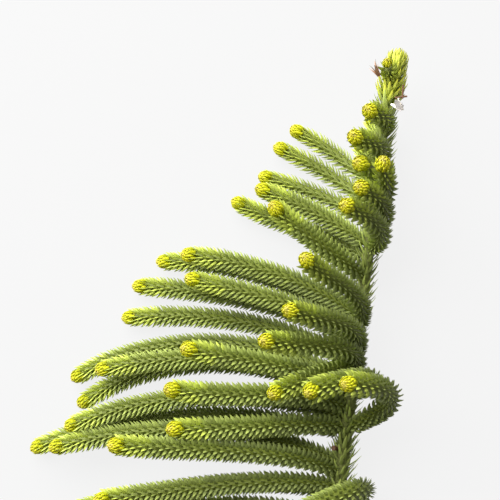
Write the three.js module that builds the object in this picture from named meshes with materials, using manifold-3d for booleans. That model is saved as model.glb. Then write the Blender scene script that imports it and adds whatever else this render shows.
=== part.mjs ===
// End of a Norfolk Island pine bough, cut off and laid down.
// Millimetres and degrees, +Z up. The bough lies on the plane z = 0, with the origin under the
// middle of its box. The stem runs towards +Y, and the side shoots sweep round to -X.
import * as THREE from 'three';
import { mergeVertices } from 'three/addons/utils/BufferGeometryUtils.js';
import Module from 'manifold-3d';

const wasm = await Module();
wasm.setup();

// Stem: one straight, tapering limb that rests on the rim of its cut foot
const FOOT = new THREE.Vector3(86.53, -218.4, 7);
const STEM_LENGTH = 397;
const STEM_LEAN = 6.75;
const STEM_RISE = 4.6;
const STEM_FOOT_RADIUS = 6.6;
const STEM_NECK_RADIUS = 3.4;
const STEM_SIDES = 8;
const BARE_FOOT = 24;

// Leader: the blunt growing tip that carries on from the stem's neck
const LEADER_LENGTH = 44.5;
const LEADER_LEAN = 12.4;
const LEADER_RISE = 6.3;
const LEADER_RADIUS = 6.2;
const LEADER_SHOULDER = 9;

// Side shoot: a tapering core that ends in a round bud
const SHOOT_ROOT_RADIUS = 2.4;
const SHOOT_CORE_RADIUS = 4.4;
const SHOOT_BUD_RADIUS = 5.8;
const SHOOT_SIDES = 5;
const SHOOT_STEP = 27;
const SHOOT_MIN_STEPS = 4;
const BUD_LENGTH = 11;

// Needles: three-sided awls, larger and fewer than life, with their roots sunk in. They stand in a
// spiral that moves on by `skip` of the core's flat sides at each step.
const NEEDLE_SINK = 1.6;
const NEEDLE_JITTER = 8.6;
const SHOOT_NEEDLE = { radius: 2.6, length: 9, lean: 40, spacing: 11.5, skip: 2 };
const STEM_NEEDLE = { radius: 2.1, length: 12, lean: 40, spacing: 5, skip: 3 };
const LEADER_NEEDLE = { radius: 2.3, length: 10, lean: 26, spacing: 1.6, skip: 3 };

// Clearances: at a seat, from a shoot's axis to its needle tips, from a limb's axis to its needle tips,
// and between the needles of neighbours
const SEAT_GAP = 0.3;
const SHOOT_SPACE = 7.8;
const LIMB_SPACE = 13;
const NEEDLE_GAP = 1;

// Rows of side shoots, from the leader down to the foot. `at` is where a shoot leaves the stem, measured
// from the cut; `reach` and `heading` lead from there to its bud as seen from above, counter-clockwise
// from +X; `height` is the bud's height over the floor; `turn` is how far the bud's own heading differs.
// A shoot leaves the stem towards `launch` for the share `out` of its span, each its own or its row's, and
// comes straight into the bud for the share `back`. `climb` is the share of the height gained at both
// points, and `girth` thins a shoot that is small.
const ROWS = [
  {
    name: 'leader', launch: 120, out: 0.3, back: 0.3, climb: [0.5, 0.7],
    shoots: [
      { at: 413, reach: 17.5, heading: 114.4, turn: 0, height: 62, girth: 0.6 },
    ],
  },
  {
    name: 'underside', launch: 140, out: 0.25, back: 0.4, climb: [1, 1],
    shoots: [
      { at: 368, reach: 25.7, heading: 106.7, turn: 0, height: 10 },
      { at: 347, reach: 28.5, heading: 124, turn: 0, height: 10 },
      { at: 332, reach: 81.9, heading: 144.7, turn: 11, height: 8 },
      { at: 316, reach: 92.3, heading: 147.9, turn: 9, height: 8 },
      { at: 302, reach: 97.1, heading: 156.2, turn: 9, height: 8 },
      { at: 274, reach: 117, heading: 156.1, turn: -5, height: 8 },
      { at: 219, reach: 169.4, heading: 162.2, turn: 21, height: 8 },
      { at: 203, reach: 185, heading: 164.8, turn: 12, height: 8, launch: 137 },
      { at: 186, reach: 189.2, heading: 168, turn: 17, height: 8, launch: 137 },
      { at: 172, reach: 224, heading: 179, turn: 32.5, height: 8, launch: 142 },
      { at: 155, reach: 216.6, heading: 180.1, turn: 37, height: 8, launch: 135.5 },
      { at: 145, reach: 224, heading: 181.5, turn: 21, height: 24, launch: 156 },
      { at: 135, reach: 252.9, heading: 183.6, turn: 19, height: 8, launch: 169 },
      { at: 83, reach: 213.3, heading: 183.4, turn: 9, height: 8, launch: 160 },
      { at: 50, reach: 227, heading: 183, turn: 7, height: 8 },
      { at: 30, reach: 201, heading: 185, turn: -1, height: 8 },
    ],
  },
  {
    name: 'lower', launch: 140, out: 0.25, back: 0.4, climb: [0.6, 1],
    shoots: [
      { at: 284, reach: 100.8, heading: 152.5, turn: 8, height: 26 },
      { at: 227, reach: 150.1, heading: 160.4, turn: 14, height: 28, launch: 140 },
      { at: 212, reach: 144.2, heading: 161, turn: 5, height: 30 },
      { at: 161, reach: 202.5, heading: 173.3, turn: 20, height: 28 },
      { at: 107.5, reach: 231.7, heading: 176.2, turn: 19, height: 28, launch: 148 },
      { at: 40, reach: 195, heading: 184, turn: 2, height: 26 },
    ],
  },
  {
    name: 'upper', launch: 140, out: 0.25, back: 0.35, climb: [0.5, 0.8],
    shoots: [
      { at: 338, reach: 25.8, heading: 154.7, turn: 5, height: 76 },
      { at: 259, reach: 96.1, heading: 142.8, turn: -5, height: 62 },
      { at: 168, reach: 139.2, heading: 164.2, turn: 0, height: 56 },
      { at: 152, reach: 146.6, heading: 171.1, turn: -6, height: 58 },
      { at: 139, reach: 141.6, heading: 178.3, turn: -2, height: 58, launch: 167 },
      { at: 101.5, reach: 183.6, heading: 170.5, turn: 3, height: 66, launch: 147.5 },
      { at: 90, reach: 193.1, heading: 181.5, turn: 4, height: 46, launch: 164 },
      { at: 56, reach: 177.0, heading: 173.7, turn: 3, height: 30 },
    ],
  },
  {
    name: 'crest', launch: 70, out: 0.28, back: 0.3, climb: [0.45, 0.7],
    shoots: [
      { at: 377, reach: 22.8, heading: 145.1, turn: 4, height: 72 },
      { at: 351, reach: 33.2, heading: 146.2, turn: -2, height: 84 },
      { at: 312, reach: 37.6, heading: 90.9, turn: 7, height: 104, launch: 58 },
      { at: 295, reach: 38.6, heading: 118.4, turn: 41, height: 100, launch: 44 },
      { at: 280, reach: 44.9, heading: 127.6, turn: 30, height: 104, launch: 39 },
      { at: 219, reach: 76, heading: 130.1, turn: 5, height: 108, launch: 76 },
      { at: 197, reach: 72.5, heading: 145.2, turn: 13, height: 112, launch: 76 },
      { at: 182, reach: 82.3, heading: 156.2, turn: 9, height: 108, launch: 67 },
      { at: 174, reach: 67.6, heading: 181.9, turn: 15, height: 84, launch: 83 },
      { at: 36, reach: 41, heading: 162, turn: 16, height: 92 },
    ],
  },
  {
    name: 'arched', launch: 45, out: 0.66, back: 0.36, climb: [0.4, 0.75],
    shoots: [
      { at: 166, reach: 42.2, heading: 168.1, turn: 33, height: 104, launch: 24, out: 0.48 },
      { at: 137, reach: 48.7, heading: 104.9, turn: 71, height: 122, launch: 31, out: 0.53 },
      { at: 75, reach: 57.3, heading: 181.4, turn: 26, height: 108, launch: 32, out: 0.6 },
    ],
  },
];

// Steps along a curve, the distance under which corners are one, the width under which a sliver of a face
// is taken out, and the seed of the needles
const CURVE_STEPS = 48;
const MERGE_DISTANCE = 1e-4;
const SLIVER_WIDTH = 0.05;
const RANDOM_SEED = 20;

const FINISH = {
  stem: new THREE.MeshStandardMaterial({ color: '#6f7a35', roughness: 0.8, metalness: 0 }),
  leader: new THREE.MeshStandardMaterial({ color: '#9db23c', roughness: 0.6, metalness: 0 }),
  underside: new THREE.MeshStandardMaterial({ color: '#76863a', roughness: 0.65, metalness: 0 }),
  lower: new THREE.MeshStandardMaterial({ color: '#7f8e38', roughness: 0.65, metalness: 0 }),
  upper: new THREE.MeshStandardMaterial({ color: '#8a983a', roughness: 0.65, metalness: 0 }),
  crest: new THREE.MeshStandardMaterial({ color: '#96a53c', roughness: 0.65, metalness: 0 }),
  arched: new THREE.MeshStandardMaterial({ color: '#a0ae40', roughness: 0.65, metalness: 0 }),
};

const { clamp, degToRad, lerp, smoothstep } = THREE.MathUtils;

// Repeatable random numbers from 0 to 1
function makeRandom(seed) {
  let state = seed;
  return () => {
    state = (state + 0x6d2b79f5) | 0;
    let mixed = Math.imul(state ^ (state >>> 15), 1 | state);
    mixed = (mixed + Math.imul(mixed ^ (mixed >>> 7), 61 | mixed)) ^ mixed;
    return ((mixed ^ (mixed >>> 14)) >>> 0) / 2 ** 32;
  };
}

// Direction of a limb that leans from +Y to +X and rises over the floor
function limbDirection(lean, rise) {
  const level = Math.cos(degToRad(rise));
  return new THREE.Vector3(
    Math.sin(degToRad(lean)) * level,
    Math.cos(degToRad(lean)) * level,
    Math.sin(degToRad(rise)),
  );
}

// A level step of a given length towards a heading
function levelStep(heading, length) {
  const angle = degToRad(heading);
  return new THREE.Vector3(Math.cos(angle) * length, Math.sin(angle) * length, 0);
}

// Bends a geometry that stands on the Y axis so that its axis follows a curve
function bendAlong(geometry, curve) {
  const length = curve.getLength();
  const frames = curve.computeFrenetFrames(CURVE_STEPS);
  const place = geometry.getAttribute('position');
  for (let i = 0; i < place.count; i += 1) {
    const share = clamp(place.getY(i) / length, 0, 1);
    const step = Math.round(share * CURVE_STEPS);
    const point = curve.getPointAt(share);
    point.addScaledVector(frames.normals[step], place.getX(i));
    point.addScaledVector(frames.binormals[step], -place.getZ(i));
    place.setXYZ(i, point.x, point.y, point.z);
  }
  return geometry;
}

// A closed geometry as a solid, without the empty triangles at its poles
function toSolid(geometry) {
  geometry.deleteAttribute('normal');
  geometry.deleteAttribute('uv');
  const merged = mergeVertices(geometry, MERGE_DISTANCE);
  const corners = merged.getIndex().array;
  const kept = [];
  for (let i = 0; i < corners.length; i += 3) {
    const triangle = corners.slice(i, i + 3);
    if (new Set(triangle).size === 3) {
      kept.push(...triangle);
    }
  }
  const vertProperties = merged.getAttribute('position').array;
  const triVerts = new Uint32Array(kept);
  return new wasm.Manifold(new wasm.Mesh({ numProp: 3, vertProperties, triVerts }));
}

function toMesh(solid, name, finish) {
  const { vertProperties, triVerts } = solid.getMesh();
  const geometry = new THREE.BufferGeometry();
  geometry.setAttribute('position', new THREE.BufferAttribute(vertProperties, 3));
  geometry.setIndex(new THREE.BufferAttribute(triVerts, 1));
  geometry.computeVertexNormals();
  const mesh = new THREE.Mesh(geometry, finish);
  mesh.name = name;
  return mesh;
}

// A round solid along a curve, from pairs of distance along the curve and radius there
function limbSolid(curve, profile, sides) {
  const [firstAlong] = profile[0];
  const [lastAlong] = profile[profile.length - 1];
  const points = [
    new THREE.Vector2(0, firstAlong),
    ...profile.map(([along, radius]) => new THREE.Vector2(radius, along)),
    new THREE.Vector2(0, lastAlong),
  ];
  return toSolid(bendAlong(new THREE.LatheGeometry(points, sides), curve));
}

// One needle with its root at a point of a core's flat side
function needleSolid(root, direction, needle) {
  const upright = new THREE.Vector3(0, 1, 0);
  const awl = new THREE.ConeGeometry(needle.radius, needle.length, 3);
  awl.translate(0, needle.length / 2 - NEEDLE_SINK, 0);
  awl.applyQuaternion(new THREE.Quaternion().setFromUnitVectors(upright, direction));
  awl.translate(root.x, root.y, root.z);
  return toSolid(awl);
}

// A core with needles fused on in a spiral from `start` to `end` of its curve. `radiusAt` gives the core's
// radius, and `hasRoom` tells whether a needle's root, middle and tip keep to the core's own space.
function withNeedles(core, curve, sides, needle, start, end, radiusAt, hasRoom) {
  const length = curve.getLength();
  const frames = curve.computeFrenetFrames(CURVE_STEPS);
  const flatSide = 360 / sides;
  const flatShare = Math.cos(degToRad(flatSide / 2));
  const count = Math.floor((end - start) / needle.spacing) + 1;
  let whole = core;
  for (let i = 0; i < count; i += 1) {
    const along = start + i * needle.spacing;
    const step = Math.round((along / length) * CURVE_STEPS);
    const tangent = frames.tangents[step];
    const angle = flatSide * (0.5 + i * needle.skip) - 90;
    const outward = frames.normals[step].clone().applyAxisAngle(tangent, degToRad(angle));
    const lean = degToRad(needle.lean + (random() - 0.5) * NEEDLE_JITTER);
    const direction = tangent.clone().multiplyScalar(Math.cos(lean)).addScaledVector(outward, Math.sin(lean));
    const root = curve.getPointAt(along / length).addScaledVector(outward, radiusAt(along) * flatShare);
    const tip = root.clone().addScaledVector(direction, needle.length - NEEDLE_SINK);
    const middle = root.clone().lerp(tip, 0.5);
    if (tip.z > 0 && hasRoom(root, middle, tip)) {
      whole = whole.add(needleSolid(root, direction, needle));
    }
  }
  return whole.simplify(SLIVER_WIDTH);
}

// Axes of the stem and of the leader that goes on from it
const random = makeRandom(RANDOM_SEED);
const stemDirection = limbDirection(STEM_LEAN, STEM_RISE);
const leaderDirection = limbDirection(LEADER_LEAN, LEADER_RISE);
const neck = FOOT.clone().addScaledVector(stemDirection, STEM_LENGTH);
const leaderTip = neck.clone().addScaledVector(leaderDirection, LEADER_LENGTH);
const stemAxis = new THREE.LineCurve3(FOOT, neck);
const leaderAxis = new THREE.LineCurve3(neck, leaderTip);

// The point of the stem, or of the leader past the neck, at a distance from the cut
function limbPoint(at) {
  if (at <= STEM_LENGTH) {
    return FOOT.clone().addScaledVector(stemDirection, at);
  }
  return neck.clone().addScaledVector(leaderDirection, at - STEM_LENGTH);
}

function stemRadius(along) {
  return lerp(STEM_FOOT_RADIUS, STEM_NECK_RADIUS, along / STEM_LENGTH);
}

function shootRadius(along, length) {
  return lerp(SHOOT_ROOT_RADIUS, SHOOT_CORE_RADIUS, smoothstep(along, 0, length / 3));
}

// A shoot's curve: out of the limb along its launch, then round into the bud
function shootCurve(row, shoot) {
  const root = limbPoint(shoot.at);
  const bud = root.clone().add(levelStep(shoot.heading, shoot.reach)).setZ(shoot.height);
  const rise = bud.z - root.z;
  const span = Math.hypot(shoot.reach, rise);
  const launch = root.clone().add(levelStep(shoot.launch ?? row.launch, (shoot.out ?? row.out) * span));
  const approach = bud.clone().sub(levelStep(shoot.heading + shoot.turn, row.back * span));
  launch.setZ(root.z + row.climb[0] * rise);
  approach.setZ(root.z + row.climb[1] * rise);
  return new THREE.CubicBezierCurve3(root, launch, approach, bud);
}

// A shoot's core: even steps up to the bud, which swells and closes in a dome
function shootProfile(length, girth) {
  const budStart = length - BUD_LENGTH;
  const steps = Math.max(SHOOT_MIN_STEPS, Math.ceil(budStart / SHOOT_STEP));
  const profile = [];
  for (let i = 0; i <= steps; i += 1) {
    const along = (budStart * i) / steps;
    profile.push([along, girth * shootRadius(along, length)]);
  }
  profile.push([length - BUD_LENGTH * 0.5, girth * SHOOT_BUD_RADIUS]);
  profile.push([length - BUD_LENGTH * 0.12, girth * SHOOT_BUD_RADIUS * 0.66]);
  profile.push([length, 0]);
  return profile;
}

// Every shoot with its curve, and the points of the curve that its neighbours keep clear of
const shoots = ROWS.flatMap((row) => row.shoots.map((shoot, i) => {
  const curve = shootCurve(row, shoot);
  return {
    name: `${row.name}_shoot_${i + 1}`,
    finish: FINISH[row.name],
    girth: shoot.girth ?? 1,
    curve,
    points: curve.getSpacedPoints(CURVE_STEPS),
  };
}));

function isClearOfShoots(point, distance, self) {
  return shoots.every((other) => other === self || other.points.every((p) => p.distanceTo(point) > distance));
}

function isClearOfLimbs(point) {
  return [stemAxis, leaderAxis].every((axis) => {
    const line = new THREE.Line3(axis.v1, axis.v2);
    return line.closestPointToPoint(point, true, new THREE.Vector3()).distanceTo(point) > LIMB_SPACE;
  });
}

// Cores of the stem and the leader, at their own size or grown to cut their neighbours clear of them
function stemCore(grow) {
  const end = neck.clone().addScaledVector(stemDirection, grow);
  const profile = [[0, STEM_FOOT_RADIUS + grow], [STEM_LENGTH + grow, STEM_NECK_RADIUS + grow]];
  return limbSolid(new THREE.LineCurve3(FOOT, end), profile, STEM_SIDES);
}

function leaderCore(grow) {
  const radius = LEADER_RADIUS + grow;
  const profile = [
    [0, STEM_NECK_RADIUS + grow],
    [LEADER_SHOULDER, radius],
    [LEADER_LENGTH - LEADER_RADIUS, radius],
    [LEADER_LENGTH - LEADER_RADIUS * 0.3, radius * 0.7],
    [LEADER_LENGTH, 0],
  ];
  return limbSolid(leaderAxis, profile, STEM_SIDES);
}

const stemSpace = stemCore(SEAT_GAP);
const leaderSpace = leaderCore(SEAT_GAP);

// Stem with its long needles, left out where a shoot leaves it
function makeStem() {
  const hasRoom = (root, middle, tip) => (
    isClearOfShoots(root, SHOOT_ROOT_RADIUS + STEM_NEEDLE.radius + NEEDLE_GAP, null)
    && isClearOfShoots(middle, SHOOT_CORE_RADIUS + STEM_NEEDLE.radius + NEEDLE_GAP, null)
    && isClearOfShoots(tip, SHOOT_CORE_RADIUS + NEEDLE_GAP, null)
  );
  const end = STEM_LENGTH - STEM_NEEDLE.length;
  return withNeedles(stemCore(0), stemAxis, STEM_SIDES, STEM_NEEDLE, BARE_FOOT, end, stemRadius, hasRoom);
}

function makeLeader() {
  const core = leaderCore(0).subtract(stemSpace);
  const hasRoom = (...points) => points.every((p) => isClearOfShoots(p, SHOOT_CORE_RADIUS + NEEDLE_GAP, null));
  const end = LEADER_LENGTH - LEADER_RADIUS;
  const radiusAt = () => LEADER_RADIUS;
  return withNeedles(core, leaderAxis, STEM_SIDES, LEADER_NEEDLE, LEADER_SHOULDER, end, radiusAt, hasRoom);
}

function makeShoot(shoot) {
  const { curve, girth } = shoot;
  const length = curve.getLength();
  const whole = limbSolid(curve, shootProfile(length, girth), SHOOT_SIDES);
  const core = whole.subtract(stemSpace).subtract(leaderSpace);
  const hasRoom = (root, middle, tip) => (
    isClearOfLimbs(middle)
    && isClearOfLimbs(tip)
    && isClearOfShoots(middle, SHOOT_SPACE, shoot)
    && isClearOfShoots(tip, SHOOT_SPACE + NEEDLE_GAP, shoot)
  );
  const end = length - BUD_LENGTH * 0.6;
  const radiusAt = (along) => girth * shootRadius(along, length);
  return withNeedles(core, curve, SHOOT_SIDES, SHOOT_NEEDLE, SHOOT_NEEDLE.length, end, radiusAt, hasRoom);
}

const bough = new THREE.Group();
bough.add(toMesh(makeStem(), 'stem', FINISH.stem));
bough.add(toMesh(makeLeader(), 'leader', FINISH.leader));
for (const shoot of shoots) {
  bough.add(toMesh(makeShoot(shoot), shoot.name, shoot.finish));
}

export default bough;
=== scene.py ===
"""Looks of a cut Norfolk Island pine bough, grown over its packed solids.

Metres, in the frame of the solids: +Z up from the floor, +Y along the bough towards its leader, and -X the
way its side shoots sweep. Each shoot follows the rule of the part's source, which is written again here in
its millimetres and degrees, and is carried on to twigs, needles and buds.
"""
import math

import bpy
import numpy as np
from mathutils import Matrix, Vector
from mathutils.geometry import interpolate_bezier


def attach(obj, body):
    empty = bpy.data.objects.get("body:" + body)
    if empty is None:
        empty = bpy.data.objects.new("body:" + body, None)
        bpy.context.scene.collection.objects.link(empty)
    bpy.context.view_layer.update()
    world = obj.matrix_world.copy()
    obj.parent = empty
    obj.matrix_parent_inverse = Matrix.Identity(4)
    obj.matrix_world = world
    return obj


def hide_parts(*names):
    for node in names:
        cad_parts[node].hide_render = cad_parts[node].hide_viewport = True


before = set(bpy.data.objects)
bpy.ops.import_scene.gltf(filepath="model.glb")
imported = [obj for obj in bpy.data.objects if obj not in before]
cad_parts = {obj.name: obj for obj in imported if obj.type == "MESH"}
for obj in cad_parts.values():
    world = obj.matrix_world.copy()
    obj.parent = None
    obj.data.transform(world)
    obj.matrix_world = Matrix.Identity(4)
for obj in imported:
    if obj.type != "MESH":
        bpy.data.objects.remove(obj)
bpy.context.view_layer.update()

bl_info = {
    "name": "Norfolk Island pine bough",
    "version": (1, 0, 0),
    "blender": (4, 5, 0),
    "location": "3D View > Sidebar > Bough",
    "description": "Grows bark, twigs, needles and buds over the solids of a cut bough",
    "category": "Object",
}

MM = 0.001

# Stem and leader, in the source's millimetres and degrees
FOOT = Vector((86.53, -218.4, 7))
STEM_LENGTH = 397
STEM_LEAN = 6.75
STEM_RISE = 4.6
STEM_FOOT_RADIUS = 6.6
STEM_NECK_RADIUS = 3.4
BARE_FOOT = 24
LEADER_LENGTH = 44.5
LEADER_LEAN = 12.4
LEADER_RISE = 6.3
LEADER_SHOULDER = 9

# Rows of side shoots, as in the source. Each also says how thick its twigs are, how many degrees its needles
# are tucked in, the size of its needles and buds, how far its buds turn up, and its kind of needle
ROWS = [
    {
        "name": "leader", "launch": 120, "out": 0.3, "back": 0.3, "climb": (0.5, 0.7),
        "core": 1.0, "tuck": 0, "girth": 0.6, "bud": 0.62, "tilt": 0.5, "needle": "hooked",
        "shoots": [
            {"at": 413, "reach": 17.5, "heading": 114.4, "turn": 0, "height": 62},
        ],
    },
    {
        "name": "underside", "launch": 140, "out": 0.25, "back": 0.4, "climb": (1, 1),
        "core": 1.15, "tuck": 0, "girth": 0.86, "bud": 0.94, "tilt": 0.3, "needle": "toothed",
        "shoots": [
            {"at": 368, "reach": 25.7, "heading": 106.7, "turn": 0, "height": 10},
            {"at": 347, "reach": 28.5, "heading": 124, "turn": 0, "height": 10},
            {"at": 332, "reach": 81.9, "heading": 144.7, "turn": 11, "height": 8, "needle": "slender"},
            {"at": 316, "reach": 92.3, "heading": 147.9, "turn": 9, "height": 8, "needle": "slender"},
            {"at": 302, "reach": 97.1, "heading": 156.2, "turn": 9, "height": 8, "needle": "slender"},
            {"at": 274, "reach": 117, "heading": 156.1, "turn": -5, "height": 8},
            {"at": 219, "reach": 169.4, "heading": 162.2, "turn": 21, "height": 8},
            {"at": 203, "reach": 185, "heading": 164.8, "turn": 12, "height": 8, "launch": 137},
            {"at": 186, "reach": 189.2, "heading": 168, "turn": 17, "height": 8, "launch": 137},
            {"at": 172, "reach": 224, "heading": 179, "turn": 32.5, "height": 8, "launch": 142},
            {"at": 155, "reach": 216.6, "heading": 180.1, "turn": 37, "height": 8, "launch": 135.5},
            {"at": 145, "reach": 224, "heading": 181.5, "turn": 21, "height": 24, "launch": 156},
            {"at": 135, "reach": 252.9, "heading": 183.6, "turn": 19, "height": 8, "launch": 169},
            {"at": 83, "reach": 213.3, "heading": 183.4, "turn": 9, "height": 8, "launch": 160},
            {"at": 50, "reach": 227, "heading": 183, "turn": 7, "height": 8},
            {"at": 30, "reach": 201, "heading": 185, "turn": -1, "height": 8},
        ],
    },
    {
        "name": "lower", "launch": 140, "out": 0.25, "back": 0.4, "climb": (0.6, 1),
        "core": 1.15, "tuck": 0, "girth": 0.88, "bud": 0.98, "tilt": 0.4, "needle": "toothed",
        "shoots": [
            {"at": 284, "reach": 100.8, "heading": 152.5, "turn": 8, "height": 26},
            {"at": 227, "reach": 150.1, "heading": 160.4, "turn": 14, "height": 28},
            {"at": 212, "reach": 144.2, "heading": 161, "turn": 5, "height": 30},
            {"at": 161, "reach": 202.5, "heading": 173.3, "turn": 20, "height": 28},
            {"at": 107.5, "reach": 231.7, "heading": 176.2, "turn": 19, "height": 28, "launch": 148},
            {"at": 40, "reach": 195, "heading": 184, "turn": 2, "height": 26},
        ],
    },
    {
        "name": "upper", "launch": 140, "out": 0.25, "back": 0.35, "climb": (0.5, 0.8),
        "core": 1.25, "tuck": 0, "girth": 0.9, "bud": 1.06, "tilt": 0.7, "needle": "hooked",
        "shoots": [
            {"at": 338, "reach": 25.8, "heading": 154.7, "turn": 5, "height": 76},
            {"at": 259, "reach": 96.1, "heading": 142.8, "turn": -5, "height": 62},
            {"at": 168, "reach": 139.2, "heading": 164.2, "turn": 0, "height": 56},
            {"at": 152, "reach": 146.6, "heading": 171.1, "turn": -6, "height": 58},
            {"at": 139, "reach": 141.6, "heading": 178.3, "turn": -2, "height": 58, "launch": 167},
            {"at": 101.5, "reach": 183.6, "heading": 170.5, "turn": 3, "height": 66, "launch": 147.5,
             "girth": 0.84},
            {"at": 90, "reach": 193.1, "heading": 181.5, "turn": 4, "height": 46, "launch": 164,
             "girth": 0.8},
            {"at": 56, "reach": 177, "heading": 173.7, "turn": 3, "height": 30, "girth": 0.88},
        ],
    },
    {
        "name": "crest", "launch": 70, "out": 0.28, "back": 0.3, "climb": (0.45, 0.7),
        "core": 1.4, "tuck": 10, "girth": 0.84, "bud": 1.0, "tilt": 0.5, "needle": "hooked",
        "shoots": [
            {"at": 377, "reach": 22.8, "heading": 145.1, "turn": 4, "height": 72},
            {"at": 351, "reach": 33.2, "heading": 146.2, "turn": -2, "height": 84},
            {"at": 312, "reach": 37.6, "heading": 90.9, "turn": 7, "height": 104, "launch": 58},
            {"at": 295, "reach": 38.6, "heading": 118.4, "turn": 41, "height": 100, "launch": 44},
            {"at": 280, "reach": 44.9, "heading": 127.6, "turn": 30, "height": 104, "launch": 39},
            {"at": 219, "reach": 76, "heading": 130.1, "turn": 5, "height": 108, "launch": 76},
            {"at": 197, "reach": 72.5, "heading": 145.2, "turn": 13, "height": 112, "launch": 76},
            {"at": 182, "reach": 82.3, "heading": 156.2, "turn": 9, "height": 108, "launch": 67},
            {"at": 174, "reach": 67.6, "heading": 181.9, "turn": 15, "height": 84, "launch": 83},
            {"at": 36, "reach": 41, "heading": 162, "turn": 16, "height": 92},
        ],
    },
    {
        "name": "arched", "launch": 45, "out": 0.66, "back": 0.36, "climb": (0.4, 0.75),
        "core": 1.8, "tuck": 24, "girth": 0.82, "bud": 1.02, "tilt": 0.7, "needle": "hooked",
        "shoots": [
            {"at": 166, "reach": 42.2, "heading": 168.1, "turn": 33, "height": 104, "launch": 24,
             "out": 0.48},
            {"at": 137, "reach": 48.7, "heading": 104.9, "turn": 71, "height": 122, "launch": 31,
             "out": 0.53},
            {"at": 75, "reach": 57.3, "heading": 181.4, "turn": 26, "height": 108, "launch": 32,
             "out": 0.6},
        ],
    },
]

# Finer than the source, in millimetres and degrees: where needles start, the twig under them, which is full
# at a third of its length, and the neck behind a bud, where needles are smaller and tucked in
NEEDLE_START = 4
TWIG_ROOT_RADIUS = 2.2
TWIG_RADIUS = 3.4
TWIG_SWELL_RATE = 3
NECK_SIZE = 0.92
NECK_REACH = 24
NECK_TUCK = 26

# A bud's dome: its height, how far it is set back from the shoot's end and how it closes at its top
BUD_HEIGHT = 9.2
BUD_CROWN = 2.4
BUD_SEAT = 10
BUD_CORE_RADIUS = 5.3
BUD_ROUNDNESS = 2.4
BUD_CLOSING = 0.98
BUD_TUCK = 64
BUD_SHRINK = 0.4
BUD_HEART = 3.2

# The leader's core and crown, its spreading lower needles, and how large the stem's needles are at distances
# from the cut
LEADER_CORE_RADIUS = 6.2
LEADER_CROWN = 5.5
LEADER_BASE_TUCK = -28
LEADER_BASE_GIRTH = 1.45
LEADER_BASE_REACH = 26
LEADER_TOP_TUCK = 4
LEADER_CROWN_TUCK = 30
STEM_GIRTHS = [(0, 1.1), (136, 1.15), (165, 0.6), (222, 0.7), (262, 1.1), (STEM_LENGTH, 1.25)]

# Steps along a shoot and along a dome in millimetres, and samples of a shoot's curve
LINE_STEP = 2
FINE_STEP = 0.3
CURVE_SAMPLES = 240

# Zones of needles by age: nearest to and furthest from the shoot's end in millimetres, or beyond either end,
# and the record's slot
BEYOND = 1000
ZONES = [
    {"name": "young", "near": -BEYOND, "far": 26, "slot": "young_needles"},
    {"name": "green", "near": 26, "far": 82, "slot": "green_needles"},
    {"name": "mature", "near": 82, "far": BEYOND, "slot": "green_needles"},
]
ZONE_BLUR = 8
STEM_GREEN_REACH = 150

# How needles stand: the angle from one to the next round the twig, and their width from root to tip
GOLDEN_ANGLE = math.pi * (3 - math.sqrt(5))
NEEDLE_OUTLINE = [(0, 1), (0.35, 0.78), (0.72, 0.4), (1, 0.04)]
NEEDLE_RINGS = 5
NEEDLE_SIDES = 4
BEND_SHARE = 0.62
RANDOM_SEED = 20
TINT_SEED = 3

# Painted shade at a needle's root, on shoots, stem and buds: how dark it makes the root and how far along
# the needle it reaches; and where a needle's paler tip starts
PAINTED_ROOT_SHADE = 0.64
STEM_PAINTED_ROOT_SHADE = 0.85
BUD_PAINTED_ROOT_SHADE = 0.93
PAINTED_ROOT_SHADE_REACH = 0.5
TIP_START = 0.45

# What is known at each point of a line that things grow on
LINE_FACTS = ("twig_radius", "girth", "tuck", "from_bud")


def linear(hex_colour):
    """An sRGB hex colour as the linear red, green, blue and alpha that Blender works in."""
    shares = [int(hex_colour[i:i + 2], 16) / 255 for i in (1, 3, 5)]
    return [c / 12.92 if c <= 0.04045 else ((c + 0.055) / 1.055) ** 2.4 for c in shares] + [1.0]


def size_property(label, description, millimetres):
    """A length that a user may change, given in millimetres."""
    return bpy.props.FloatProperty(
        name=label, description=description, default=millimetres * MM, min=0, unit="LENGTH", precision=5)


def angle_property(label, description, degrees):
    """An angle that a user may change, given in degrees."""
    return bpy.props.FloatProperty(
        name=label, description=description, default=math.radians(degrees), subtype="ANGLE")


def share_property(label, description, share):
    """A plain share or power that a user may change."""
    return bpy.props.FloatProperty(name=label, description=description, default=share)


def colour_property(label, description, hex_colour):
    """A colour that a user may change, given as sRGB hex."""
    return bpy.props.FloatVectorProperty(
        name=label, description=description, default=linear(hex_colour), size=4, min=0, max=1,
        subtype="COLOR")


def needle_properties(length, width, depth, spacing, lean, tip_lean, sway, least_size, taper):
    """What a user may change on one kind of needle, given in millimetres and degrees."""
    return {
        "length": size_property("Length", "Length along its bend", length),
        "width": size_property("Width", "Width across what it grows on", width),
        "depth": size_property("Depth", "Width along what it grows on", depth),
        "spacing": size_property("Spacing", "Step from one to the next along what they grow on", spacing),
        "lean": angle_property("Lean", "Angle between its root and what it grows on", lean),
        "tip_lean": angle_property("Tip lean", "Angle between its tip and what it grows on", tip_lean),
        "sway": angle_property("Sway", "Largest chance turn off its place", sway),
        "least_size": share_property("Least size", "Smallest as a share of the largest", least_size),
        "taper": share_property("Taper", "Power of its outline: 1 is pointed, and less is blunter", taper),
    }


def kind_property(needle, label):
    """The sizes of one kind of needle."""
    return bpy.props.PointerProperty(type=needle, name=label, description=needle.__doc__)


class HookedNeedle(bpy.types.PropertyGroup):
    """Sizes of the thick incurved needles on the shoots nearest the camera"""

    __annotations__ = needle_properties(
        length=7.7, width=1.3, depth=4.2, spacing=0.38,
        lean=72, tip_lean=46, sway=1, least_size=0.96, taper=1)


class ToothedNeedle(bpy.types.PropertyGroup):
    """Sizes of the open, sharper needles on the shoots furthest from the camera"""

    __annotations__ = needle_properties(
        length=8, width=1.3, depth=3.2, spacing=0.38,
        lean=66, tip_lean=38, sway=1.5, least_size=0.94, taper=1)


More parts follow.
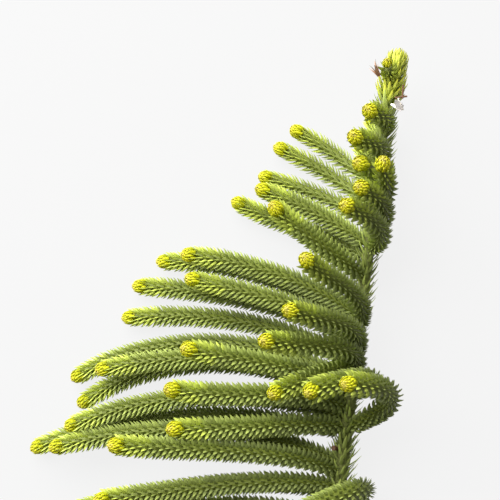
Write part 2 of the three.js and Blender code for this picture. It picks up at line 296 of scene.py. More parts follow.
class SlenderNeedle(bpy.types.PropertyGroup):
    """Sizes of the thin needles on the feathery shoots below the leader"""

    __annotations__ = needle_properties(
        length=9, width=1.5, depth=2.2, spacing=0.46,
        lean=50, tip_lean=28, sway=3, least_size=0.9, taper=1)


class BudNeedle(bpy.types.PropertyGroup):
    """Sizes of the soft scale-like needles that close a bud"""

    __annotations__ = needle_properties(
        length=7.2, width=4.2, depth=1, spacing=0.22,
        lean=15, tip_lean=-28, sway=3, least_size=0.94, taper=0.5)


class StemNeedle(bpy.types.PropertyGroup):
    """Sizes of the long lance-shaped needles on the stem"""

    __annotations__ = needle_properties(
        length=12, width=3.2, depth=1.1, spacing=0.62,
        lean=42, tip_lean=24, sway=10, least_size=0.72, taper=0.7)


class LeaderNeedle(bpy.types.PropertyGroup):
    """Sizes of the broad upright needles on the leader"""

    __annotations__ = needle_properties(
        length=10, width=3.8, depth=1.6, spacing=0.42,
        lean=25, tip_lean=-14, sway=5, least_size=0.86, taper=0.7)


class DryScale(bpy.types.PropertyGroup):
    """Sizes of the dead scales beside the leader"""

    __annotations__ = needle_properties(
        length=12, width=3.6, depth=0.5, spacing=0.5,
        lean=12, tip_lean=26, sway=8, least_size=0.7, taper=0.8)


class PaperyScale(bpy.types.PropertyGroup):
    """Sizes of the bleached papery scales below the leader"""

    __annotations__ = needle_properties(
        length=11, width=7, depth=0.35, spacing=0.7,
        lean=10, tip_lean=30, sway=6, least_size=0.8, taper=0.4)


class BoughSizes(bpy.types.PropertyGroup):
    """Sizes of what grows on the bough"""

    hooked: kind_property(HookedNeedle, "Hooked needle")
    toothed: kind_property(ToothedNeedle, "Toothed needle")
    slender: kind_property(SlenderNeedle, "Slender needle")
    bud: kind_property(BudNeedle, "Bud needle")
    stem: kind_property(StemNeedle, "Stem needle")
    leader: kind_property(LeaderNeedle, "Leader needle")
    dry_scale: kind_property(DryScale, "Dry scale")
    papery: kind_property(PaperyScale, "Papery scale")
    bark_relief: size_property("Bark relief", "Height of the stem's bark relief", 0.7)


class BoughColours(bpy.types.PropertyGroup):
    """Colours of what grows on the bough"""

    mature: colour_property("Mature needles", "Needles furthest from the bud", "#909c58")
    green: colour_property("Green needles", "Needles in the middle of a shoot", "#9eab59")
    young: colour_property("Young needles", "Needles just behind the bud", "#bfcc5a")
    leader: colour_property("Leader needles", "Upright needles of the leader", "#c2cb50")
    bud: colour_property("Bud needles", "Soft needles round the bud", "#a3a610")
    bud_heart: colour_property("Bud heart", "Softest needles at the heart of the bud", "#c6bd2a")
    bud_tip: colour_property("Bud tips", "Dry tips of the heart's needles", "#c9ad52")
    twig: colour_property("Twigs", "Green skin of the twigs", "#8f9c3a")
    bark: colour_property("Bark", "Young bark of the stem", "#7c8440")
    # Painted shade for the creases of the stem's bark
    painted_crease_shade: colour_property("Bark shade", "Creases of the stem's bark", "#4c5024")
    cut_wood: colour_property("Cut wood", "Fresh wood of the cut face", "#cdb98a")
    dry_scale: colour_property("Dry scales", "Dead scales beside the leader", "#9a7256")
    paper: colour_property("Papery scale", "Bleached papery scale below the leader", "#e6dfdc")
    floor: colour_property("Floor", "Plain floor under the bough", "#343434")


def smooth_step(share):
    """Eases from 0 to 1 as a share goes from 0 to 1."""
    inside = np.clip(share, 0, 1)
    return inside * inside * (3 - 2 * inside)


def limb_direction(lean, rise):
    """Direction of a limb that leans from +Y to +X and rises over the floor."""
    level = math.cos(math.radians(rise))
    return Vector((
        math.sin(math.radians(lean)) * level,
        math.cos(math.radians(lean)) * level,
        math.sin(math.radians(rise)),
    ))


STEM_DIRECTION = limb_direction(STEM_LEAN, STEM_RISE)
LEADER_DIRECTION = limb_direction(LEADER_LEAN, LEADER_RISE)
NECK = FOOT + STEM_DIRECTION * STEM_LENGTH


def limb_point(at):
    """The point of the stem, or of the leader past the neck, at a distance from the cut."""
    if at <= STEM_LENGTH:
        return FOOT + STEM_DIRECTION * at
    return NECK + LEADER_DIRECTION * (at - STEM_LENGTH)


def level_step(heading, length):
    """A level step of a given length towards a heading."""
    angle = math.radians(heading)
    return Vector((math.cos(angle) * length, math.sin(angle) * length, 0))


def shoot_controls(row, shoot):
    """A shoot's curve: out of the limb along its launch, then round into the bud."""
    root = limb_point(shoot["at"])
    bud = root + level_step(shoot["heading"], shoot["reach"])
    bud.z = shoot["height"]
    rise = bud.z - root.z
    span = math.hypot(shoot["reach"], rise)
    launch = root + level_step(shoot.get("launch", row["launch"]), shoot.get("out", row["out"]) * span)
    approach = bud - level_step(shoot["heading"] + shoot["turn"], row["back"] * span)
    launch.z = root.z + row["climb"][0] * rise
    approach.z = root.z + row["climb"][1] * rise
    return root, launch, approach, bud


def spaced_points(controls, step):
    """Points at even steps along a cubic curve, and how far along it each one is."""
    samples = np.array(interpolate_bezier(*controls, CURVE_SAMPLES))
    travelled = np.concatenate([[0], np.cumsum(np.linalg.norm(np.diff(samples, axis=0), axis=1))])
    along = np.linspace(0, travelled[-1], max(3, round(travelled[-1] / step)) + 1)
    points = np.column_stack([np.interp(along, travelled, samples[:, axis]) for axis in range(3)])
    return points, along


def make_line(points, twig_radius, girth, tuck, from_bud):
    """A line that things grow on, with what they need to know at each of its points, in metres."""
    count = len(points)
    return {
        "points": np.array(points) * MM,
        "twig_radius": np.broadcast_to(twig_radius, count) * MM,
        "girth": np.broadcast_to(girth, count),
        "tuck": np.radians(np.broadcast_to(tuck, count)),
        "from_bud": np.broadcast_to(from_bud, count) * MM,
    }


def shoot_line(row, shoot, start):
    """A shoot's axis from a distance out of its root to its bud."""
    points, along = spaced_points(shoot_controls(row, shoot), LINE_STEP)
    from_bud = along[-1] - along
    swell = smooth_step(along / along[-1] * TWIG_SWELL_RATE)
    radius = row["core"] * (TWIG_ROOT_RADIUS + (TWIG_RADIUS - TWIG_ROOT_RADIUS) * swell)
    near_bud = 1 - smooth_step((from_bud - BUD_HEIGHT) / NECK_REACH)
    full = shoot.get("girth", row["girth"])
    girth = full + (NECK_SIZE - full) * near_bud
    kept = (along >= start) & (from_bud >= BUD_CROWN + BUD_HEIGHT - LINE_STEP)
    tuck = row["tuck"] + (NECK_TUCK - row["tuck"]) * near_bud
    return make_line(points[kept], radius[kept], girth[kept], tuck[kept], from_bud[kept])


def dome_line(base, direction, core_radius, tuck, girth):
    """The dome at the end of a shoot, as a line whose radius closes to nothing."""
    steps = np.linspace(0, 1, round(BUD_HEIGHT / FINE_STEP) + 1)
    points = np.array(base) + np.outer(steps * BUD_HEIGHT * girth, np.array(direction))
    radius = core_radius * np.sqrt(1 - BUD_CLOSING * steps ** BUD_ROUNDNESS)
    size = girth * (1 - BUD_SHRINK * steps)
    return make_line(points, girth * radius, size, tuck * steps ** BUD_ROUNDNESS, BUD_HEIGHT * (1 - steps))


def bud_line(row, shoot):
    """The dome of a side shoot's bud, which turns up from its shoot."""
    controls = shoot_controls(row, shoot)
    girth = row["bud"]
    direction = (controls[3] - controls[2]).normalized()
    base = controls[3] - direction * girth * BUD_SEAT
    upward = (direction + Vector((0, 0, row["tilt"]))).normalized()
    return dome_line(base, upward, BUD_CORE_RADIUS, BUD_TUCK, girth)


def straight_line(start, end, from_end, radius_at, girth_at=np.ones_like, tuck_at=np.zeros_like):
    """A straight axis, with what is known at its points given as functions of the distance along it."""
    along = np.linspace(0, (end - start).length, max(1, round((end - start).length / LINE_STEP)) + 1)
    points = np.array(start) + np.outer(along, np.array((end - start).normalized()))
    return make_line(points, radius_at(along), girth_at(along), tuck_at(along), from_end - along)


def row_nodes(row):
    """Names of the solids of a row's shoots."""
    return [f"{row['name']}_shoot_{i + 1}" for i in range(len(row["shoots"]))]


def make_line_object(name, lines):
    """A mesh of loose edges, one chain for each line, that carries the facts at its points."""
    mesh = bpy.data.meshes.new(name)
    edges = []
    start = 0
    for line in lines:
        end = start + len(line["points"])
        edges += [(i, i + 1) for i in range(start, end - 1)]
        start = end
    mesh.from_pydata(np.concatenate([line["points"] for line in lines]).tolist(), edges, [])
    for fact in LINE_FACTS:
        values = np.concatenate([line[fact] for line in lines]).astype(np.float32)
        mesh.attributes.new(fact, "FLOAT", "POINT").data.foreach_set("value", values)
    host = bpy.data.objects.new(name, mesh)
    bpy.context.scene.collection.objects.link(host)
    return host


def add_node(tree, kind, inputs=None, **settings):
    """Adds a node with its settings. An input is a value, or the output that is linked to it."""
    node = tree.nodes.new(kind)
    for key, value in settings.items():
        setattr(node, key, value)
    for key, value in (inputs or {}).items():
        if isinstance(value, bpy.types.NodeSocket):
            tree.links.new(value, node.inputs[key])
        else:
            node.inputs[key].default_value = value
    return node


def new_tree(name, inputs):
    """A geometry node tree with named inputs, and the outputs of its input node."""
    tree = bpy.data.node_groups.new(name, "GeometryNodeTree")
    tree.interface.new_socket("Geometry", in_out="INPUT", socket_type="NodeSocketGeometry")
    for label, kind in inputs.items():
        tree.interface.new_socket(label, in_out="INPUT", socket_type=f"NodeSocket{kind}")
    tree.interface.new_socket("Geometry", in_out="OUTPUT", socket_type="NodeSocketGeometry")
    return tree, add_node(tree, "NodeGroupInput").outputs


def needle_tree():
    """Geometry nodes that set curved needles in a spiral along every line."""
    tree, given = new_tree("Needle cover", {
        "Spacing": "Float",
        "Width": "Float",
        "Depth": "Float",
        "Bend": "Vector",
        "Tip": "Vector",
        "Sway": "Float",
        "Least Size": "Float",
        "Taper": "Float",
        "Near": "Float",
        "Far": "Float",
        "Blur": "Float",
        "Seed": "Int",
        "Smooth": "Bool",
        "Material": "Material",
    })

    # One needle: a tapering keeled blade, from its root at the origin
    blade = add_node(tree, "GeometryNodeCurveQuadraticBezier", {
        "Resolution": NEEDLE_RINGS, "Start": (0, 0, 0), "Middle": given["Bend"], "End": given["Tip"]})
    share = add_node(tree, "GeometryNodeSplineParameter").outputs["Factor"]
    marked = add_node(tree, "GeometryNodeStoreNamedAttribute", {
        "Geometry": blade.outputs["Curve"], "Name": "along", "Value": share})
    taper = add_node(tree, "ShaderNodeFloatCurve", {"Value": share})
    outline = taper.mapping.curves[0].points
    for at, size in NEEDLE_OUTLINE[1:-1]:
        outline.new(at, size)
    for point, place in zip(outline, NEEDLE_OUTLINE):
        point.location = place
    taper.mapping.update()
    breadth = add_node(tree, "ShaderNodeMath", {0: taper.outputs[0], 1: given["Taper"]}, operation="POWER")
    ring = add_node(tree, "GeometryNodeCurvePrimitiveCircle", {"Resolution": NEEDLE_SIDES, "Radius": 0.5})
    section = add_node(tree, "ShaderNodeCombineXYZ", {"X": given["Width"], "Y": given["Depth"], "Z": 1.0})
    keel = add_node(tree, "GeometryNodeTransform", {
        "Geometry": ring.outputs["Curve"], "Scale": section.outputs[0]})
    needle = add_node(tree, "GeometryNodeCurveToMesh", {
        "Curve": marked.outputs["Geometry"], "Profile Curve": keel.outputs["Geometry"],
        "Scale": breadth.outputs[0], "Fill Caps": True})
    shaded = add_node(tree, "GeometryNodeSetShadeSmooth", {
        "Geometry": needle.outputs["Mesh"], "Shade Smooth": given["Smooth"]})

    # The spiral: points at even steps, each turned on by the golden angle and moved out to the twig's skin
    line = add_node(tree, "GeometryNodeMeshToCurve", {"Mesh": given["Geometry"]})
    steps = add_node(tree, "GeometryNodeCurveToPoints", {
        "Curve": line.outputs["Curve"], "Length": given["Spacing"]}, mode="LENGTH")
    index = add_node(tree, "GeometryNodeInputIndex")
    angle = add_node(tree, "ShaderNodeMath", {0: index.outputs[0], 1: GOLDEN_ANGLE}, operation="MULTIPLY")
    spin = add_node(tree, "FunctionNodeAxisAngleToRotation", {"Axis": (0, 0, 1), "Angle": angle.outputs[0]})
    facing = add_node(tree, "FunctionNodeRotateRotation", {
        "Rotation": steps.outputs["Rotation"], "Rotate By": spin.outputs[0]}, rotation_space="LOCAL")
    radius = add_node(tree, "GeometryNodeInputNamedAttribute", {"Name": "twig_radius"})
    outward = add_node(tree, "ShaderNodeCombineXYZ", {"X": radius.outputs["Attribute"]})
    offset = add_node(tree, "FunctionNodeRotateVector", {
        "Vector": outward.outputs[0], "Rotation": facing.outputs[0]})
    roots = add_node(tree, "GeometryNodeSetPosition", {
        "Geometry": steps.outputs["Points"], "Offset": offset.outputs[0]})

    # Each needle sways a little off its place, and is tucked in over a dome
    chance = add_node(tree, "FunctionNodeRandomValue", {
        0: (-1, -1, -1), 1: (1, 1, 1), "Seed": given["Seed"]}, data_type="FLOAT_VECTOR")
    sway = add_node(tree, "ShaderNodeVectorMath", {
        0: chance.outputs[0], "Scale": given["Sway"]}, operation="SCALE")
    tuck = add_node(tree, "GeometryNodeInputNamedAttribute", {"Name": "tuck"})
    inward = add_node(tree, "ShaderNodeCombineXYZ", {"Y": tuck.outputs["Attribute"]})
    lean = add_node(tree, "ShaderNodeVectorMath", {
        0: sway.outputs[0], 1: inward.outputs[0]}, operation="SUBTRACT")
    tilt = add_node(tree, "FunctionNodeEulerToRotation", {"Euler": lean.outputs[0]})
    pose = add_node(tree, "FunctionNodeRotateRotation", {
        "Rotation": facing.outputs[0], "Rotate By": tilt.outputs[0]}, rotation_space="LOCAL")

    # Kept: the needles of one zone whose tips stay over the floor
    blur = add_node(tree, "FunctionNodeRandomValue", {
        2: 0.0, 3: given["Blur"], "Seed": given["Seed"]}, data_type="FLOAT")
    from_bud = add_node(tree, "GeometryNodeInputNamedAttribute", {"Name": "from_bud"})
    age = add_node(tree, "ShaderNodeMath", {
        0: from_bud.outputs["Attribute"], 1: blur.outputs[1]}, operation="SUBTRACT")
    after = add_node(tree, "FunctionNodeCompare", {
        0: age.outputs[0], 1: given["Near"]}, operation="GREATER_EQUAL")
    before = add_node(tree, "FunctionNodeCompare", {
        0: age.outputs[0], 1: given["Far"]}, operation="LESS_THAN")
    in_zone = add_node(tree, "FunctionNodeBooleanMath", {0: after.outputs[0], 1: before.outputs[0]})
    tip = add_node(tree, "FunctionNodeRotateVector", {"Vector": given["Tip"], "Rotation": pose.outputs[0]})
    place = add_node(tree, "GeometryNodeInputPosition")
    tip_place = add_node(tree, "ShaderNodeVectorMath", {0: place.outputs[0], 1: tip.outputs[0]})
    tip_height = add_node(tree, "ShaderNodeSeparateXYZ", {0: tip_place.outputs[0]})
    over_floor = add_node(tree, "FunctionNodeCompare", {
        0: tip_height.outputs["Z"], 1: 0.0}, operation="GREATER_THAN")
    kept = add_node(tree, "FunctionNodeBooleanMath", {0: in_zone.outputs[0], 1: over_floor.outputs[0]})

    # Needles on the kept points, each with a tint of its own from 0 to 1
    girth = add_node(tree, "GeometryNodeInputNamedAttribute", {"Name": "girth"})
    growth = add_node(tree, "FunctionNodeRandomValue", {
        2: given["Least Size"], 3: 1.0, "Seed": given["Seed"]}, data_type="FLOAT")
    size = add_node(tree, "ShaderNodeMath", {
        0: girth.outputs["Attribute"], 1: growth.outputs[1]}, operation="MULTIPLY")
    needles = add_node(tree, "GeometryNodeInstanceOnPoints", {
        "Points": roots.outputs["Geometry"], "Selection": kept.outputs[0], "Instance": shaded.outputs[0],
        "Rotation": pose.outputs[0], "Scale": size.outputs[0]})
    hue = add_node(tree, "FunctionNodeRandomValue", {2: 0.0, 3: 1.0, "Seed": TINT_SEED}, data_type="FLOAT")
    tinted = add_node(tree, "GeometryNodeStoreNamedAttribute", {
        "Geometry": needles.outputs["Instances"], "Name": "tint", "Value": hue.outputs[1]}, domain="INSTANCE")
    real = add_node(tree, "GeometryNodeRealizeInstances", {"Geometry": tinted.outputs["Geometry"]})
    painted = add_node(tree, "GeometryNodeSetMaterial", {
        "Geometry": real.outputs["Geometry"], "Material": given["Material"]})
    add_node(tree, "NodeGroupOutput", {"Geometry": painted.outputs["Geometry"]})
    return tree


def limb_tree():
    """Geometry nodes that skin every line as a round limb with a little relief."""
    tree, given = new_tree("Limb skin", {
        "Sides": "Int",
        "Relief": "Float",
        "Grain": "Float",
        "Material": "Material",
    })
    line = add_node(tree, "GeometryNodeMeshToCurve", {"Mesh": given["Geometry"]})
    ring = add_node(tree, "GeometryNodeCurvePrimitiveCircle", {"Resolution": given["Sides"], "Radius": 1.0})
    radius = add_node(tree, "GeometryNodeInputNamedAttribute", {"Name": "twig_radius"})
    limb = add_node(tree, "GeometryNodeCurveToMesh", {
        "Curve": line.outputs["Curve"], "Profile Curve": ring.outputs["Curve"],
        "Scale": radius.outputs["Attribute"], "Fill Caps": True})
    grain = add_node(tree, "ShaderNodeTexNoise", {"Scale": given["Grain"], "Detail": 2.0})
    centred = add_node(tree, "ShaderNodeMath", {0: grain.outputs[0], 1: 0.5}, operation="SUBTRACT")
    height = add_node(tree, "ShaderNodeMath", {
        0: centred.outputs[0], 1: given["Relief"]}, operation="MULTIPLY")
    outward = add_node(tree, "GeometryNodeInputNormal")
    offset = add_node(tree, "ShaderNodeVectorMath", {
        0: outward.outputs[0], "Scale": height.outputs[0]}, operation="SCALE")
    rough = add_node(tree, "GeometryNodeSetPosition", {
        "Geometry": limb.outputs["Mesh"], "Offset": offset.outputs[0]})
    smooth = add_node(tree, "GeometryNodeSetShadeSmooth", {"Geometry": rough.outputs["Geometry"]})
    real = add_node(tree, "GeometryNodeRealizeInstances", {"Geometry": smooth.outputs["Geometry"]})
    painted = add_node(tree, "GeometryNodeSetMaterial", {
        "Geometry": real.outputs["Geometry"], "Material": given["Material"]})
    add_node(tree, "NodeGroupOutput", {"Geometry": painted.outputs["Geometry"]})
    return tree


def shared_tree(name, make):
    """The tree of that name, made at its first use."""
    return bpy.data.node_groups.get(name) or make()


def grow(name, lines, tree, inputs, nodes):
    """Grows a tree's geometry on lines into a piece of plain mesh that stands for solids of the part."""
    host = make_line_object(name + "_lines", lines)
    modifier = host.modifiers.new("Grow", "NODES")
    modifier.node_group = tree
    for item in tree.interface.items_tree:
        if item.in_out == "INPUT" and item.name in inputs:
            modifier[item.identifier] = inputs[item.name]
    depsgraph = bpy.context.evaluated_depsgraph_get()
    mesh = bpy.data.meshes.new_from_object(
        host.evaluated_get(depsgraph), preserve_all_data_layers=True, depsgraph=depsgraph)
    line_mesh = host.data
    host.modifiers.remove(modifier)
    bpy.data.objects.remove(host)
    bpy.data.meshes.remove(line_mesh)
    if not mesh.polygons:
        raise RuntimeError(f"nothing grew for {name}")
    mesh.name = name
    return place_piece(name, mesh, nodes)


def place_piece(name, mesh, nodes):
    """Shows a mesh as a piece of the bough that stands for solids of the part."""
    piece = bpy.data.objects.new(name, mesh)
    bpy.context.scene.collection.objects.link(piece)
    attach(piece, "root")
    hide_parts(*nodes)
    return piece


def needle_inputs(kind):
    """Inputs of the needle tree for one kind of needle."""
    root = Vector((math.sin(kind.lean), 0, math.cos(kind.lean)))
    end = Vector((math.sin(kind.tip_lean), 0, math.cos(kind.tip_lean)))
    bend = root * kind.length * BEND_SHARE
    return {
        "Spacing": kind.spacing,
        "Width": kind.width,
        "Depth": kind.depth,
        "Bend": bend,
        "Tip": bend + end * kind.length * (1 - BEND_SHARE),
        "Sway": kind.sway,
        "Least Size": kind.least_size,
        "Taper": kind.taper,
        "Seed": RANDOM_SEED,
        "Smooth": False,
    }


def cover(name, lines, kind, material, slot, nodes, near=-BEYOND, far=BEYOND, blur=0, **changes):
    """Covers lines in one kind of needle, between two distances from the bud in millimetres."""
    return grow(name, lines, shared_tree("Needle cover", needle_tree), {
        **needle_inputs(kind), "Near": near * MM, "Far": far * MM, "Blur": blur * MM, "Material": material,
        **changes,
    }, nodes)


def skin(name, lines, material, nodes, sides, relief, grain):
    """Skins lines as round limbs, with a relief and a grain of given sizes."""
    return grow(name, lines, shared_tree("Limb skin", limb_tree), {
        "Sides": sides, "Relief": relief, "Grain": 1 / grain, "Material": material,
    }, nodes)


def new_material(name):
    """A material with only its shader, and its tree."""
    material = bpy.data.materials.new(name)
    material.use_nodes = True
    return material, material.node_tree, material.node_tree.nodes["Principled BSDF"]


def plant_material(name, colour, tip_colour, tip_share, roughness, spread=0.2, painted_root_shade=PAINTED_ROOT_SHADE,
                   gloss=0.35, softness=0.0):
    """Plant skin under wax: each needle has its own tint, is paler at its tip, and is darkened at its root by
    painted shade.
    """
    if name in bpy.data.materials:
        return bpy.data.materials[name]
    material, tree, shader = new_material(name)
    tint = add_node(tree, "ShaderNodeAttribute", attribute_name="tint")
    along = add_node(tree, "ShaderNodeAttribute", attribute_name="along")
    deep = [c * (1 - spread) for c in colour[:3]] + [1.0]
    pale = [min(1.0, c * (1 + spread)) for c in colour[:3]] + [1.0]
    own = add_node(tree, "ShaderNodeMix", {
        0: tint.outputs["Fac"], 6: deep, 7: pale}, data_type="RGBA", clamp_factor=True)
    reach = add_node(tree, "ShaderNodeMapRange", {
        0: along.outputs["Fac"], 1: TIP_START, 2: 1.0, 3: 0.0, 4: tip_share}, interpolation_type="SMOOTHSTEP")
    tipped = add_node(tree, "ShaderNodeMix", {
        0: reach.outputs[0], 6: own.outputs[2], 7: tip_colour}, data_type="RGBA")
    # Painted shade: each needle is darkened towards its root, where its neighbours shade it
    painted_root_shade_share = add_node(tree, "ShaderNodeMapRange", {
        0: along.outputs["Fac"], 1: 0.0, 2: PAINTED_ROOT_SHADE_REACH, 3: painted_root_shade, 4: 1.0})
    root_shaded_colour = add_node(tree, "ShaderNodeVectorMath", {
        0: tipped.outputs[2], "Scale": painted_root_shade_share.outputs[0]}, operation="SCALE")
    tree.links.new(root_shaded_colour.outputs[0], shader.inputs["Base Color"])
    shader.inputs["Roughness"].default_value = roughness
    shader.inputs["IOR"].default_value = 1.45
    shader.inputs["Specular IOR Level"].default_value = gloss
    # Light goes a little way into a soft needle, and least of all blue light
    shader.inputs["Subsurface Weight"].default_value = softness
    shader.inputs["Subsurface Radius"].default_value = (1.0, 0.9, 0.3)
    shader.inputs["Subsurface Scale"].default_value = 2 * MM
    return material


def twig_skin(colours):
    """Green twig skin: a smooth dull green that fills the gaps between needles."""
    return plant_material("green twig skin", colours.twig, colours.young, tip_share=0, roughness=0.55)


def bark_material(colours):
    """Young conifer bark: matt, thin, creased lengthwise a few millimetres apart, with painted shade in the
    creases.
    """
    material, tree, shader = new_material("young conifer bark")
    place = add_node(tree, "ShaderNodeTexCoord")
    stretched = add_node(tree, "ShaderNodeMapping", {
        "Vector": place.outputs["Object"], "Scale": (1, 0.25, 1)})
    crease = add_node(tree, "ShaderNodeTexNoise", {
        "Vector": stretched.outputs[0], "Scale": 1 / (3 * MM), "Detail": 3.0})
    # Painted shade: the bark is darker where the crease's relief is low
    crease_shaded_bark = add_node(tree, "ShaderNodeMix", {
        0: crease.outputs[0], 6: list(colours.painted_crease_shade), 7: list(colours.bark)}, data_type="RGBA")
    bump = add_node(tree, "ShaderNodeBump", {
        "Strength": 0.6, "Distance": 0.4 * MM, "Height": crease.outputs[0]})
    tree.links.new(crease_shaded_bark.outputs[2], shader.inputs["Base Color"])
    tree.links.new(bump.outputs[0], shader.inputs["Normal"])
    shader.inputs["Roughness"].default_value = 0.82
    shader.inputs["IOR"].default_value = 1.5
    return material


class BOUGH_OT_stem(bpy.types.Operator):
    """Grows the stem's bark and its long needles"""

    bl_idname = "bough.stem"
    bl_label = "Stem"

    def execute(self, context):
        sizes = context.scene.bough_sizes
        colours = context.scene.bough_colours

        def radius_at(along):
            return STEM_FOOT_RADIUS + (STEM_NECK_RADIUS - STEM_FOOT_RADIUS) * along / STEM_LENGTH

        def clad_radius_at(along):
            return radius_at(along + BARE_FOOT)

        def girth_at(along):
            return np.interp(along + BARE_FOOT, *zip(*STEM_GIRTHS))

        whole = straight_line(FOOT, NECK, STEM_LENGTH, radius_at)
        skin("stem_bark", [whole], bark_material(colours), ["stem"],
             sides=20, relief=sizes.bark_relief, grain=4 * MM)

        clad_length = STEM_LENGTH - BARE_FOOT
        clad = straight_line(limb_point(BARE_FOOT), NECK, clad_length, clad_radius_at, girth_at)
        zones = [
            ("stem_green_needles", -BEYOND, STEM_GREEN_REACH),
            ("stem_mature_needles", STEM_GREEN_REACH, BEYOND),
        ]
        for name, near, far in zones:
            # Painted shade darkens each needle towards its root, less than on the side shoots
            material = plant_material(
                name.replace("_", " "), colours.green, colours.young, tip_share=0.3, roughness=0.48,
                spread=0.3, painted_root_shade=STEM_PAINTED_ROOT_SHADE)
            cover(name, [clad], sizes.stem, material, "green_needles", ["stem"], near, far, ZONE_BLUR)
        return {"FINISHED"}


class BOUGH_OT_leader(bpy.types.Operator):
    """Grows the leader's core, its upright needles and its blunt crown"""

    bl_idname = "bough.leader"
    bl_label = "Leader"

    def execute(self, context):
        sizes = context.scene.bough_sizes
        colours = context.scene.bough_colours
        end = NECK + LEADER_DIRECTION * LEADER_LENGTH
        shoulder_end = end - LEADER_DIRECTION * (LEADER_CROWN + BUD_HEIGHT)

        def radius_at(along):
            swell = smooth_step(along / LEADER_SHOULDER)
            return STEM_NECK_RADIUS + (LEADER_CORE_RADIUS - STEM_NECK_RADIUS) * swell

        def tuck_at(along):
            return LEADER_BASE_TUCK + (LEADER_TOP_TUCK - LEADER_BASE_TUCK) * along / LEADER_LENGTH

        def girth_at(along):
            return LEADER_BASE_GIRTH + (1 - LEADER_BASE_GIRTH) * smooth_step(along / LEADER_BASE_REACH)

        core = straight_line(NECK, shoulder_end, LEADER_LENGTH, radius_at, girth_at, tuck_at)
        dome = dome_line(shoulder_end, LEADER_DIRECTION, LEADER_CORE_RADIUS, LEADER_CROWN_TUCK, 1)
        skin("leader_core", [core, dome], twig_skin(colours), ["leader"],
             sides=12, relief=0.3 * MM, grain=2 * MM)

        parts = [
            ("leader_needles", core, "young_needles", sizes.leader.spacing),
            ("leader_crown_needles", dome, "bud_needles", sizes.leader.spacing / 2),
        ]
        for name, line, slot, spacing in parts:
            material = plant_material(
                name.replace("_", " "), colours.leader, colours.bud_heart, tip_share=0.6, roughness=0.48)
            cover(name, [line], sizes.leader, material, slot, ["leader"], Spacing=spacing)
        return {"FINISHED"}


class BOUGH_OT_twigs(bpy.types.Operator):
    """Grows the green twig under each side shoot's needles"""

    bl_idname = "bough.twigs"
    bl_label = "Twigs"

    def execute(self, context):
        colours = context.scene.bough_colours
        for row in ROWS:
            lines = [shoot_line(row, shoot, 0) for shoot in row["shoots"]]
            skin(f"{row['name']}_twigs", lines, twig_skin(colours), row_nodes(row),
                 sides=7, relief=0.5 * MM, grain=2 * MM)
        return {"FINISHED"}


class BOUGH_OT_needles(bpy.types.Operator):
    """Covers every side shoot in needles, by age from its bud to its root"""

    bl_idname = "bough.needles"
    bl_label = "Needles"

    def execute(self, context):
        sizes = context.scene.bough_sizes
        colours = context.scene.bough_colours
        for row in ROWS:
            kinds = {}
            for shoot in row["shoots"]:
                line = shoot_line(row, shoot, NEEDLE_START)
                kinds.setdefault(shoot.get("needle", row["needle"]), []).append(line)
            for kind, lines in kinds.items():
                furthest = max(line["from_bud"].max() for line in lines)
                for zone in ZONES:
                    if furthest < (zone["near"] + ZONE_BLUR) * MM:
                        continue
                    # Each needle is darkened towards its root by painted shade
                    material = plant_material(
                        f"{zone['name']} needle cuticle", getattr(colours, zone["name"]), colours.young,
                        tip_share=0.12, roughness=0.48)
                    name = f"{row['name']}_{kind}_{zone['name']}_needles"
                    cover(name, lines, getattr(sizes, kind), material, zone["slot"], row_nodes(row),
                          zone["near"], zone["far"], ZONE_BLUR)
        return {"FINISHED"}


class BOUGH_OT_buds(bpy.types.Operator):
    """Closes every side shoot in a rosette of soft yellow needles"""

    bl_idname = "bough.buds"
    bl_label = "Buds"

    def execute(self, context):
        sizes = context.scene.bough_sizes
        colours = context.scene.bough_colours
        core_skin = plant_material("bud core skin", colours.bud, colours.bud, tip_share=0, roughness=0.55)
        # New needles have little wax yet, so they are matt and glow a little, and their painted shade at the
        # root is faint
        soft = {"tip_share": 0.5, "roughness": 0.6, "spread": 0.12, "painted_root_shade": BUD_PAINTED_ROOT_SHADE,
                "gloss": 0.15, "softness": 0.6}
        zones = [
            ("bud", BUD_HEART, BEYOND, plant_material(
                "soft bud needle", colours.bud, colours.bud_heart, **soft)),
            ("heart", -BEYOND, BUD_HEART, plant_material(
                "soft heart needle", colours.bud_heart, colours.bud_tip, **soft)),
        ]
        for row in ROWS:
            lines = [bud_line(row, shoot) for shoot in row["shoots"]]
            skin(f"{row['name']}_bud_cores", lines, core_skin, row_nodes(row),
                 sides=9, relief=0.2 * MM, grain=2 * MM)
            for name, near, far, material in zones:
                cover(f"{row['name']}_{name}_needles", lines, sizes.bud, material, "bud_needles",
                      row_nodes(row), near, far, Smooth=True)
        return {"FINISHED"}


# Scraps by the leader and the foot, in millimetres: where each starts, and the step from there to its end
DRY_TUFT = (Vector((125.4, 193, 54)), Vector((-1.4, 2.4, 0.6)))
PAPERY_TUFT = (Vector((143.6, 167.5, 52)), Vector((-1.2, 1.2, 0.4)))
TWIGLET_LINES = [
    (Vector((144.2, 187.4, 50)), Vector((-0.6, -10.6, 0))),
    (Vector((147.2, 178.6, 50)), Vector((-9.6, -1.2, 0))),
]
TUFT_RADIUS = 0.3
TWIGLET_RADIUS = 0.7
BROKEN_SHOOT = (Vector((96.5, -98, 18)), Vector((-4.6, 1, 6)))
BROKEN_SHOOT_RADIUS = 2.0
CUT_DEPTH = 0.4
CUT_FACE = (FOOT - STEM_DIRECTION * CUT_DEPTH, STEM_DIRECTION * CUT_DEPTH * 3)
CUT_RADIUS = 6.1


def short_line(start, step, radius):
    """A line of one step, with no taper."""
    return make_line([start, start + step], radius, girth=1, tuck=0, from_bud=0)


